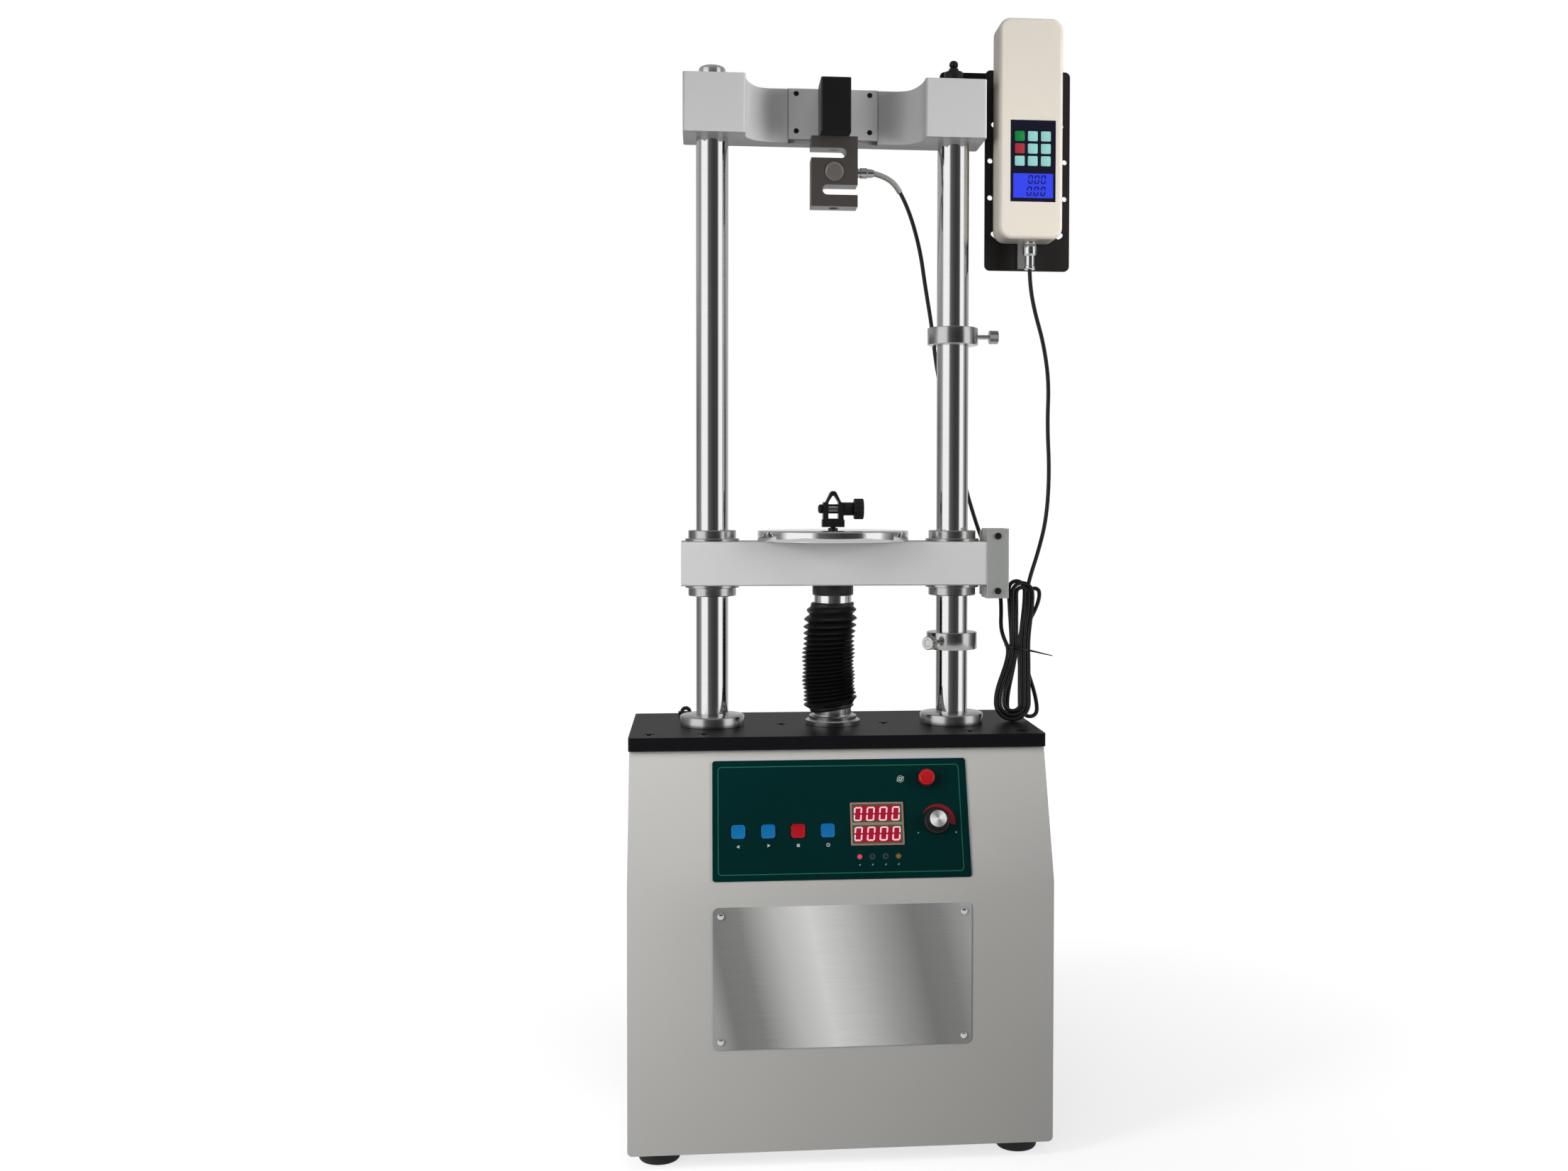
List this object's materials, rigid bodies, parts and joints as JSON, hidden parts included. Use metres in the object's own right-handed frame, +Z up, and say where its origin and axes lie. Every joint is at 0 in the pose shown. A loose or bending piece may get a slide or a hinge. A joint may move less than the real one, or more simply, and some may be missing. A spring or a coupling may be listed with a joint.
{
  "type": "force test stand",
  "caption": "Column force test stand: sloped-panel cabinet with a screw ram, moving crosshead with platen and grip, S-type load cell and a handheld gauge on a side bracket.",
  "frame": {"origin": "on the floor, straight under the load axis, which runs up through the ram, the grip and the load cell", "axes": "+Z up along the columns, +X to the right seen from the operator's side, +Y to the back; the control panel faces -Y"},
  "size_m": [0.4865, 0.2397, 1.208],
  "materials": {
    "plate_black": "satin",
    "case_grey": "satin",
    "head_grey": "satin",
    "inner_steel": "matt",
    "chrome": "polished",
    "black_steel": "satin",
    "screw_steel": "satin",
    "bronze": "machined",
    "rubber": "matt",
    "belt": "matt",
    "nameplate": "brushed",
    "panel": "gloss",
    "board": "matt",
    "aluminium": "brushed",
    "gunmetal": "ground",
    "black_plastic": "matt",
    "gloss_black": "gloss",
    "blue_plastic": "gloss",
    "red_plastic": "gloss",
    "beige_plastic": "satin",
    "cable_jacket": "satin",
    "motor_paint": "satin"
  },
  "bodies": {
    "stand": {"base_plate": "plate_black", "fasteners": "screw_steel", "base_frame": "inner_steel", "casing": "case_grey", "rear_cover": "case_grey", "feet": "rubber", "nameplate": "nameplate", "control_panel": "panel", "control_board": "board", "power_supply": "aluminium", "power_inlet": "black_plastic", "columns": "chrome", "column_flanges": "chrome", "top_crosshead": "head_grey", "arm_mount_plate": "head_grey", "load_arm": "black_steel", "load_cell": "gunmetal", "cell_gland": "screw_steel", "ram_guide": "chrome", "ram_housing": "inner_steel", "drive_plate": "aluminium", "screw_bearings": "screw_steel", "drive_motor": "motor_paint", "drive_belt": "belt", "ram_bellows": "rubber", "bracket_arm": "black_steel", "carrier_plate": "black_steel", "gauge_front_shell": "beige_plastic", "gauge_back_shell": "beige_plastic", "gauge_face": "gloss_black", "gauge_board": "board", "gauge_connector": "chrome", "cell_cable": "cable_jacket", "gauge_cable": "cable_jacket", "cable_hank": "cable_jacket"},
    "crosshead": {"moving_crosshead": "head_grey", "column_bushes": "screw_steel", "ram_boss": "black_steel", "ram_tube": "chrome", "ram_nut": "bronze", "platen": "chrome", "grip_yoke": "black_steel", "limit_housing": "aluminium", "limit_switch": "black_plastic"},
    "screw": {"lead_screw": "screw_steel", "screw_pulley": "aluminium"},
    "motor_rotor": {"motor_pulley": "aluminium"},
    "grip_screw": {"grip_knob": "black_steel"},
    "bracket_clamp": {"bracket_knob": "black_steel"},
    "upper_stop": {"upper_collar": "screw_steel"},
    "upper_stop_screw": {"upper_thumb_screw": "screw_steel"},
    "lower_stop": {"lower_collar": "screw_steel"},
    "lower_stop_screw": {"lower_thumb_screw": "screw_steel"},
    "button_1": {"panel_button_1": "blue_plastic"},
    "button_2": {"panel_button_2": "blue_plastic"},
    "button_3": {"panel_button_3": "red_plastic"},
    "button_4": {"panel_button_4": "blue_plastic"},
    "emergency_stop": {"stop_button": "red_plastic"},
    "speed_dial": {"speed_knob": "gloss_black"},
    "power_switch": {"power_rocker": "gloss_black"}
  },
  "joints": [
    {"name": "screw_spin", "type": "hinge", "parent": "stand", "child": "screw", "pos_m": [0, 0, 0.09], "axis": [0, 0, 1], "range_deg": [-14410, 2670]},
    {"name": "crosshead_slide", "type": "slide", "parent": "stand", "child": "crosshead", "axis": [0, 0, 1], "range_m": [-0.037, 0.2], "deforming": ["ram_bellows"]},
    {"name": "motor_spin", "type": "hinge", "parent": "stand", "child": "motor_rotor", "pos_m": [0.112, 0, 0.05], "axis": [0, 0, 1], "range_deg": [-28820, 5340]},
    {"name": "grip_spin", "type": "hinge", "parent": "crosshead", "child": "grip_screw", "pos_m": [0, 0, 0.6722], "axis": [1, 0, 0], "range_deg": [0, 720]},
    {"name": "bracket_knob_spin", "type": "hinge", "parent": "stand", "child": "bracket_clamp", "pos_m": [0.1325, 0, 1.15], "axis": [0, 0, 1], "range_deg": [0, 720]},
    {"name": "upper_collar_slide", "type": "slide", "parent": "stand", "child": "upper_stop", "axis": [0, 0, 1], "range_m": [0, 0.095]},
    {"name": "upper_thumb_spin", "type": "hinge", "parent": "upper_stop", "child": "upper_stop_screw", "pos_m": [0.17, 0, 0.8625], "axis": [1, 0, 0], "range_deg": [0, 720]},
    {"name": "lower_collar_slide", "type": "slide", "parent": "stand", "child": "lower_stop", "axis": [0, 0, 1], "range_m": [-0.06, 0]},
    {"name": "lower_thumb_spin", "type": "hinge", "parent": "lower_stop", "child": "lower_stop_screw", "pos_m": [0.10679, -0.03064, 0.5268], "axis": [-0.6428, -0.766, 0], "range_deg": [0, 720]},
    {"name": "button_1_press", "type": "slide", "parent": "stand", "child": "button_1", "axis": [0, 0.9273, -0.3744], "range_m": [0, 0.001], "stiffness_N_per_m": 1200, "springref_m": -0.0008},
    {"name": "button_2_press", "type": "slide", "parent": "stand", "child": "button_2", "axis": [0, 0.9273, -0.3744], "range_m": [0, 0.001], "stiffness_N_per_m": 1200, "springref_m": -0.0008},
    {"name": "button_3_press", "type": "slide", "parent": "stand", "child": "button_3", "axis": [0, 0.9273, -0.3744], "range_m": [0, 0.001], "stiffness_N_per_m": 1200, "springref_m": -0.0008},
    {"name": "button_4_press", "type": "slide", "parent": "stand", "child": "button_4", "axis": [0, 0.9273, -0.3744], "range_m": [0, 0.001], "stiffness_N_per_m": 1200, "springref_m": -0.0008},
    {"name": "stop_press", "type": "slide", "parent": "stand", "child": "emergency_stop", "axis": [0, 0.9273, -0.3744], "range_m": [0, 0.003]},
    {"name": "speed_turn", "type": "hinge", "parent": "stand", "child": "speed_dial", "pos_m": [0.0995, -0.11339, 0.34821], "axis": [0, -0.9273, 0.3744], "range_deg": [-150, 150]},
    {"name": "power_rock", "type": "hinge", "parent": "stand", "child": "power_switch", "pos_m": [0.15, 0.093, 0.097], "axis": [1, 0, 0], "range_deg": [-12, 0]}
  ],
  "couplings": [
    {"joint": "screw_spin", "follows": "crosshead_slide", "rad_per_m": -1256.6},
    {"joint": "motor_spin", "follows": "crosshead_slide", "rad_per_m": -2513.3}
  ]
}
